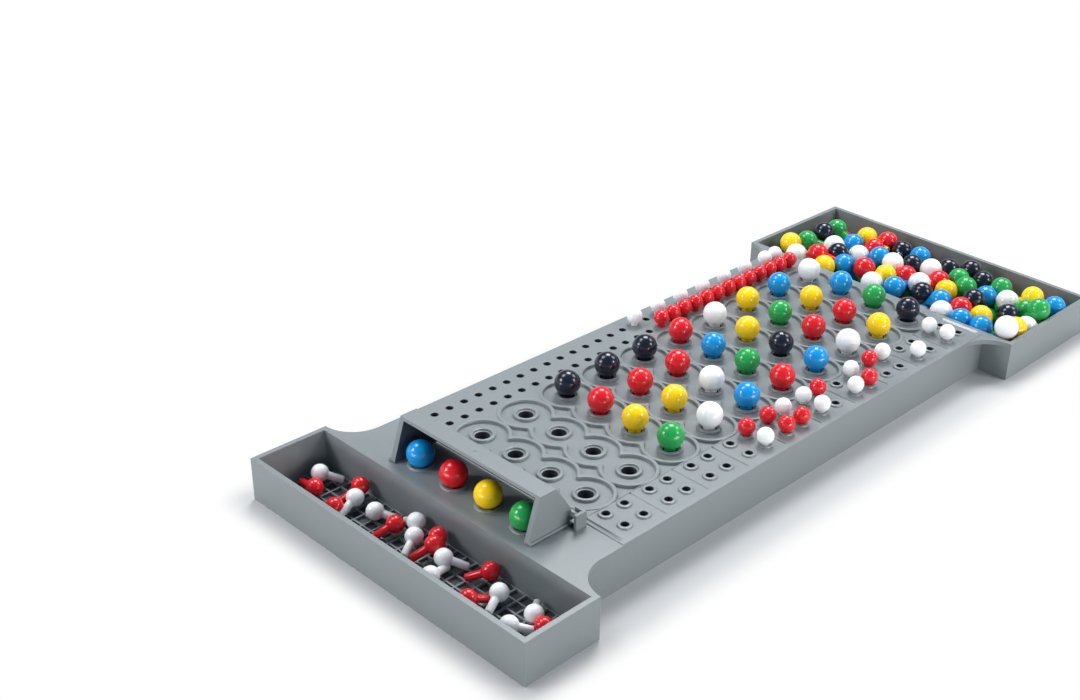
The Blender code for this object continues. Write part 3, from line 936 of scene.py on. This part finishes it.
def add_block(shape, centre, low, high, relief, points, raised="", over="", neighbours=()):
    """One hole's block of the panel, with a relief of (distance, height) round the hole's axis.

    raised names the sides on which the ground beyond the ridge lies at the panel's level, and
    over the sides on which the ridge goes on past the block's border: n, r, f or l.
    neighbours are the holes to its left and right that share its ridge.
    """
    centre = Vector(centre)
    corners = [Vector(corner) for corner in (low, (high[0], low[1]), high, (low[0], high[1]))]
    sides = []
    border = []
    for side, start, end in zip("nrfl", corners, corners[1:] + corners[:1]):
        beside = any((side == "l") == (other.x < centre.x) for other in neighbours)
        shared = beside and side in "lr"
        along_side = side_points(start, end, centre, relief, points, shared)
        border += along_side
        sides += [side] * len(along_side)
    beyond = relief[-1][0]

    def height_at(point, height):
        off = point - centre
        lifted = {"n": off.y < 0, "f": off.y > 0, "l": off.x < 0, "r": off.x > 0}
        high_ground = off.length > ridge_outer and any(lifted[side] for side in raised)
        return max(height, panel_level) if high_ground else height

    nears = [nearness(point, centre, neighbours) for point in border]
    rings = []
    for distance, height in relief:
        ring = []
        for side, point, near in zip(sides, border, nears):
            if distance < near or side in over:
                place, level = place_on_ray(point, centre, neighbours, near, distance), height
            else:
                place, level = point, level_at(relief, near)
            ring.append(shape.verts.new((place.x, place.y, height_at(place, level))))
        rings.append(ring)
    outer = []
    for side, point, near in zip(sides, border, nears):
        reach = (point - centre).length
        if side in over and reach < beyond:
            point, near = centre + (point - centre) * (beyond / reach), beyond
        outer.append(shape.verts.new((point.x, point.y, height_at(point, level_at(relief, near)))))
    rings.append(outer)
    foot = []
    if over:
        foot = [shape.verts.new((vert.co.x, vert.co.y, relief[0][1])) for vert in outer]
    count = len(border)
    for i in range(count):
        j = (i + 1) % count
        for step, (inside, outside) in enumerate(zip(rings, rings[1:])):
            face = shape.faces.new((inside[i], outside[i], outside[j], inside[j]))
            # The bore's faces get the second material, a painted dark shade
            face.material_index = int(step < bore_steps)
        on_border = all((border[k] - centre).length >= beyond for k in (i, j))
        if sides[i] in over and on_border:
            shape.faces.new((outer[i], foot[i], foot[j], outer[j]))


def add_frame(shape, low, high, steps):
    """Nested rectangles round low and high. steps lists their offsets outward and heights."""
    rings = []
    for offset, height in steps:
        a, b = low[0] - offset, low[1] - offset
        c, d = high[0] + offset, high[1] + offset
        corners = ((a, b), (c, b), (c, d), (a, d))
        rings.append([shape.verts.new((x, y, height)) for x, y in corners])
    for inside, outside in zip(rings, rings[1:]):
        for i in range(4):
            j = (i + 1) % 4
            shape.faces.new((inside[i], outside[i], outside[j], inside[j]))


panel_left, panel_right = -half_panel + panel_round, half_panel - panel_round
panel_start, panel_end = panel_near + panel_round, panel_far - panel_round
score_side = -half_body + score_strip_margin
key_side = half_body - key_strip_margin
pad_left, pad_right = key_side + 2 * strip_rib + support, half_body - pad_outer_margin


def span(number, count, middle, pitch, first, last):
    """Where a block starts and ends along its line of blocks, which goes from first to last."""
    low = first if number == 1 else middle - pitch / 2
    high = last if number == count else middle + pitch / 2
    return low, high


def row_span(row):
    return span(row, row_count, row_y(row), row_pitch, panel_start, panel_end)


def add_code_blocks(shape):
    relief = ridge_relief()
    for row in range(1, row_count + 1):
        y = row_y(row)
        low_y, high_y = row_span(row)
        for column in range(1, column_count + 1):
            x = column_x(column)
            low_x, high_x = span(column, column_count, x, column_pitch, score_side, key_side)
            low, high = (low_x, low_y), (high_x, high_y)
            raised = "n" * (row == 1) + "f" * (row == row_count) + "l" * (column == 1)
            over = "r" * (column == column_count)
            others = [other for other in (column - 1, column + 1) if 1 <= other <= column_count]
            beside = [Vector((column_x(other), y)) for other in others]
            add_block(shape, (x, y), low, high, relief, code_points, raised, over, beside)


def add_score_blocks(shape):
    relief = small_relief(score_hole_radius, panel_level)
    count, pitch = score_track_count, score_track_spacing
    for track in range(count):
        for step in range(score_count):
            x, y = score_hole(track, step)
            low_x, high_x = span(track + 1, count, x, pitch, panel_left, score_side)
            low_y, high_y = span(step + 1, score_count, y, score_pitch, panel_start, panel_end)
            add_block(shape, (x, y), (low_x, low_y), (high_x, high_y), relief, score_points)


def add_key_pad(shape, row, relief):
    """A row's pad of four key holes, the grooves round it, and the rib at the code holes' side."""
    y = row_y(row)
    borders = (y - row_pitch / 2, y + row_pitch / 2)
    pad_near, pad_far = borders[0] + pad_gap, borders[1] - pad_gap
    for number in range(1, 5):
        x, hole_y = key_hole(row, number)
        low = (pad_left if x < pad_middle else pad_middle, pad_near if hole_y < y else y)
        high = (pad_middle if x < pad_middle else pad_right, y if hole_y < y else pad_far)
        add_block(shape, (x, hole_y), low, high, relief, key_points)
    columns = [(key_side, deck_top - deck_wall)]
    for along, down in rounding(strip_rib, rib_turns):
        columns.append((key_side + strip_rib + along, panel_level + strip_rib - down))
    flat = (pad_left, pad_right, pad_right + groove_end, panel_right)
    columns += [(place, panel_level) for place in flat]
    low_y, high_y = row_span(row)
    rows = {low_y, *borders, pad_near, pad_far, high_y}
    rows = sorted(place for place in rows if low_y <= place <= high_y)
    grid = []
    for across, level in columns:
        line = []
        for along in rows:
            sunk = along in borders and across <= pad_right
            height = min(level, groove_level) if sunk else level
            line.append(shape.verts.new((across, along, height)))
        grid.append(line)
    for i in range(len(columns) - 1):
        for j in range(len(rows) - 1):
            if not (columns[i][0] == pad_left and rows[j] == pad_near):
                corners = (grid[i][j], grid[i + 1][j], grid[i + 1][j + 1], grid[i][j + 1])
                shape.faces.new(corners)


def build_panel():
    shape = bmesh.new()
    add_code_blocks(shape)
    add_score_blocks(shape)
    relief = small_relief(key_hole_radius, panel_level, key_ring_edge, key_ring_level)
    for row in range(1, row_count + 1):
        add_key_pad(shape, row, relief)
    bmesh.ops.remove_doubles(shape, verts=shape.verts, dist=tiny)
    bmesh.ops.dissolve_degenerate(shape, edges=shape.edges, dist=tiny)
    loose = [vert for vert in shape.verts if not vert.link_faces]
    bmesh.ops.delete(shape, geom=loose, context="VERTS")
    rim = [(along, panel_level - down) for along, down in rounding(panel_round, rim_turns)]
    hem = deck_top - edge_round - support
    rim += [(panel_round, hem), (0, hem)]
    add_frame(shape, (panel_left, panel_start), (panel_right, panel_end), rim)
    plastics = (board_plastic, bore_painted_shade_plastic)
    return finish_piece(shape, "board_panel", *plastics, sharp_degrees=sharp_on_panel)


panel = build_panel()

# Raised rims of the hidden code's holes
rim_relief = code_relief(deck_top, deck_top + hidden_rim_rise)
rim_profile = rim_relief[:-1] + [(rim_relief[-2][0], rim_relief[0][1]), rim_relief[0]]
rim_mesh = turned("code_hole_rim", rim_profile, hidden_rim_steps, board_plastic, bore_painted_shade_plastic)
# The bores of these rims get the painted dark shade too
for face in rim_mesh.polygons[: hidden_rim_steps * bore_steps]:
    face.material_index = 1
rims = []
for column in range(1, column_count + 1):
    rim = new_object(f"hidden_hole_rim_{column}", rim_mesh)
    rim.location = (column_x(column), hidden_row_y, 0)
    rims.append(rim)

# Lattice of the near tray's floor, and under it a dark sheet, painted shade between the ribs
half_floor = half_tray - wall
inside_near, inside_far = near_edge + wall, body_near - wall
shape = bmesh.new()
bar_count = round(2 * half_floor / rib_pitch)
for number in range(bar_count + 1):
    x = -half_floor + number * 2 * half_floor / bar_count
    low = (x - rib_width / 2, inside_near - gap, gap)
    add_box(shape, low, (x + rib_width / 2, inside_far + gap, rib_top))
lattice = finish_piece(shape, "near_tray_lattice")


def cross_bars(shape):
    count = round((inside_far - inside_near) / rib_pitch)
    for number in range(count + 1):
        y = inside_near + number * (inside_far - inside_near) / count
        low = (-half_floor - gap, y - rib_width / 2, gap)
        add_box(shape, low, (half_floor + gap, y + rib_width / 2, rib_top - cross_bar_drop))


combine(lattice, cross_bars, "UNION")
round_edges(lattice, rib_round, 2, board_plastic)

shape = bmesh.new()
low = (-half_floor, inside_near, tray_floor - gap)
add_box(shape, low, (half_floor, inside_far, tray_floor + ground_rise))
ground = finish_piece(shape, "near_tray_painted_shade_ground", painted_shade_floor_plastic)
for piece in (shell, panel, *rims, lattice, ground):
    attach(piece, "board")
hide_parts("game_board")


# Code shield


def offset_chain(points, distance):
    """A chain of points moved sideways to its right, with mitred bends."""
    lines = []
    for (ay, az), (by, bz) in zip(points, points[1:]):
        along = Vector((by - ay, bz - az)).normalized()
        lines.append((Vector((ay, az)) + Vector((along.y, -along.x)) * distance, along))
    moved = [lines[0][0]]
    for (p, u), (q, v) in zip(lines, lines[1:]):
        turn = u.x * v.y - u.y * v.x
        moved.append(p + u * (((q - p).x * v.y - (q - p).y * v.x) / turn))
    moved.append(lines[-1][0] + lines[-1][1] * (Vector(points[-1]) - Vector(points[-2])).length)
    return moved


def across_board(x):
    """Turns an outline of (along the board, up) upright and starts it at x."""
    return Matrix(((0, 0, 1, x), (1, 0, 0, body_near), (0, 1, 0, deck_top), (0, 0, 0, 1)))


shape = bmesh.new()
outside = [shield_foot, shield_front_top, shield_roof_back, shield_bend, shield_heel]
add_prism(shape, outside, across_board(-half_shield), 2 * half_shield)
bmesh.ops.recalc_face_normals(shape, faces=shape.faces)
shield = finish_piece(shape, "shield_hood")


def shield_inside(shape):
    roof = Vector(shield_front_top) - Vector(shield_roof_back)
    slope = Vector(shield_heel) - Vector(shield_bend)
    forward = Vector(shield_front_top) + roof.normalized() * (shield_front_top[0] + overrun)
    down = Vector(shield_heel) + slope.normalized() * (shield_heel[1] + overrun)
    inside = offset_chain([forward, shield_roof_back, shield_bend, down], shield_wall)
    inside.append(Vector((forward.x, inside[-1].y)))
    half_floor = half_shield - shield_end
    add_prism(shape, inside, across_board(-half_floor), 2 * half_floor)


def shield_flanges(shape):
    """A low lip along the foot of each end plate, ahead of the hinge post."""
    start, end = half_shield - shield_end / 2, half_shield + flange_width
    near, far = body_near + shield_foot[0], post_near - gap
    base = deck_top + shield_foot[1]
    add_pair(shape, start, end, near, far, base, base + flange_height)


combine(shield, shield_inside, "DIFFERENCE")
combine(shield, shield_flanges, "UNION")
round_edges(shield, shield_round, 3, shield_plastic, hood_inside_painted_shade_plastic)
# The faces that look at the hood's middle line are its inside, which gets a dark painted shade
hood_middle = Vector((0, body_near + shield_roof_back[0], deck_top + shield_bend[1] / 2))
for face in shield.data.polygons:
    inward = hood_middle - face.center
    if abs(face.normal.x) < 0.5:
        inward.x = 0
    within = abs(face.center.x) < half_shield - shield_end / 2
    face.material_index = int(within and face.normal.dot(inward) > 0)

# Hinge pins and the mark that the mould's gate left on the roof
pin_profile = [(0, pin_reach), (hinge_pin_radius - pin_chamfer, pin_reach)]
pin_profile += [(hinge_pin_radius, pin_reach - pin_chamfer), (hinge_pin_radius, -shield_wall / 2)]
pin_mesh = turned("hinge_pin", pin_profile, pin_steps, shield_plastic)
pins = []
for name, side in (("left", -1), ("right", 1)):
    pin = new_object("hinge_pin_" + name, pin_mesh)
    pins.append(pin)
    pin.location = (side * half_shield, hinge_place.y, hinge_place.z)
    pin.rotation_euler = Euler((0, side * pi / 2, 0))

nub_profile = [(0, nub_height)]
nub_profile += arc((0, nub_height - nub_radius), nub_radius, *nub_arc)
nub = new_object("shield_gate_mark", turned("gate_mark", nub_profile, nub_steps, shield_plastic))
roof_y = body_near + (shield_front_top[0] + shield_roof_back[0]) / 2
roof_z = deck_top + (shield_front_top[1] + shield_roof_back[1]) / 2
nub.location = (0, roof_y, roof_z)
for piece in (shield, *pins, nub):
    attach(piece, "shield")
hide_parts("code_shield")


# Studio


# Pale walls round the floor, and a dimmer ceiling
world = bpy.data.worlds.new("studio")
bpy.context.scene.world = world
world.use_nodes = True
tree = world.node_tree
direction = add_node(tree, "TexCoord").outputs["Generated"]
height = add_node(tree, "SeparateXYZ", {"Vector": direction}).outputs["Z"]
heights = add_node(tree, "ValToRGB", {"Fac": height})
tones = ([horizon_level] * 3, [sky_level * share for share in sky_tint])
for element, place, tone in zip(heights.color_ramp.elements, horizon_band, tones):
    element.position = place
    element.color = (*tone, 1)
# The camera itself sees plain white beyond the floor
inputs = {"Color1": heights.outputs["Color"], "Color2": pure_white}
inputs["Fac"] = add_node(tree, "LightPath").outputs["Is Camera Ray"]
beyond = add_node(tree, "MixRGB", inputs).outputs["Color"]
tree.links.new(beyond, tree.nodes["Background"].inputs["Color"])

shape = bmesh.new()
bmesh.ops.create_grid(shape, x_segments=1, y_segments=1, size=floor_half_size)
floor_material = bpy.data.materials.new("studio_floor")
floor_material.use_nodes = True
floor = finish_piece(shape, "studio_floor", floor_material)
tree = floor_material.node_tree
floor_shader = tree.nodes["Principled BSDF"]
floor_shader.inputs["Base Color"].default_value = (floor_shade_band_grey, floor_shade_band_grey, floor_shade_band_grey, 1)
floor_shader.inputs["Roughness"].default_value = floor_roughness
floor_shader.inputs["Specular IOR Level"].default_value = floor_shine
# Near the board the floor shows its grey, a painted shade band that deepens the board's real
# shadow; further out it turns plain white
# How far a place on the floor lies outside the rectangle that the board covers
spot = add_node(tree, "TexCoord").outputs["Object"]
for operation, amount in (
    ("ABSOLUTE", (0, 0, 0)), ("SUBTRACT", (half_tray, far_edge, 0)), ("MAXIMUM", (0, 0, 0)),
):
    inputs = {0: spot, 1: amount}
    spot = add_node(tree, "VectorMath", inputs, operation=operation).outputs["Vector"]
distance = add_node(tree, "VectorMath", {0: spot}, operation="LENGTH").outputs["Value"]
fade = add_range(tree, distance, floor_fade, interpolation_type="SMOOTHSTEP")
path = add_node(tree, "LightPath")
seen = path.outputs["Is Camera Ray"]
for ray in ("Is Glossy Ray", "Is Transmission Ray"):
    inputs = {0: seen, 1: path.outputs[ray]}
    seen = add_node(tree, "Math", inputs, operation="MAXIMUM").outputs["Value"]
share = add_node(tree, "Math", {0: seen, 1: fade}, operation="MULTIPLY").outputs["Value"]
backdrop = add_node(tree, "Emission", {"Color": pure_white, "Strength": 1.0}).outputs["Emission"]
inputs = {0: share, 1: floor_shader.outputs["BSDF"], 2: backdrop}
above = add_node(tree, "MixShader", inputs).outputs["Shader"]
# From below the floor is clear, so that the underside can be seen
below = add_node(tree, "BsdfTransparent").outputs["BSDF"]
inputs = {0: add_node(tree, "NewGeometry").outputs["Backfacing"], 1: above, 2: below}
surface = add_node(tree, "MixShader", inputs).outputs["Shader"]
tree.links.new(surface, tree.nodes["Material Output"].inputs["Surface"])

for name, direction, distance, width, height, power in softboxes:
    lamp = bpy.data.lights.new(name, "AREA")
    lamp.shape = "RECTANGLE"
    lamp.size = width
    lamp.size_y = height
    lamp.energy = power
    stand = new_object(name, lamp)
    toward = Vector(direction)
    stand.location = studio_centre + toward.normalized() * distance
    stand.rotation_euler = toward.to_track_quat("Z", "Y").to_euler()

camera_data = bpy.data.cameras.new("camera")
camera_data.sensor_width = camera_sensor
camera_data.lens = camera_lens
camera_data.shift_x, camera_data.shift_y = camera_shift
camera_data.clip_start = camera_clip
camera = new_object("camera", camera_data)
camera.location = camera_place
level_view = (camera_place - camera_target).to_track_quat("Z", "Y").to_matrix()
camera.rotation_euler = (level_view @ Matrix.Rotation(camera_roll, 3, "Z")).to_euler()
bpy.context.scene.camera = camera
bpy.context.scene.view_settings.view_transform = "Standard"
